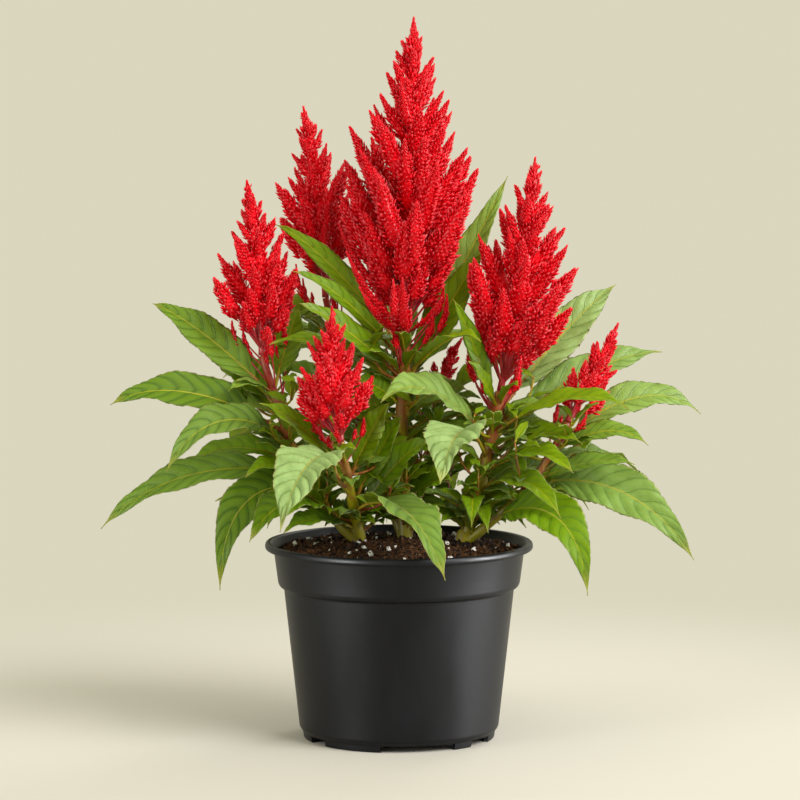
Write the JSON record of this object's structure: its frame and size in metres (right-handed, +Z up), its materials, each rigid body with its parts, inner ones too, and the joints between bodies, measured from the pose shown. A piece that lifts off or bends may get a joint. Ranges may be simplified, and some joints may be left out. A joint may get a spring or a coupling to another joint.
{
  "type": "plume celosia in nursery pot",
  "caption": "Bedding plant with upright feathery red plumes over pointed green leaves, growing in a round black plastic nursery pot filled with potting soil.",
  "frame": {"origin": "centre of the circle that the pot stands on", "axes": "+Z up the plant; the plant's front faces -Y, and +X is to its right as seen from the front"},
  "size_m": [0.371, 0.2281, 0.442],
  "materials": {
    "pot_plastic": "satin",
    "potting_soil": "matte",
    "foliage": "satin",
    "plume": "matte"
  },
  "bodies": {
    "root": {"pot": "pot_plastic", "soil": "potting_soil", "plant_left": "foliage", "plant_centre": "foliage", "plant_right": "foliage", "plume_main": "plume", "plume_back_left": "plume", "plume_back_low": "plume", "plume_left": "plume", "plume_front": "plume", "plume_right": "plume", "plume_far_right": "plume"}
  },
  "joints": []
}
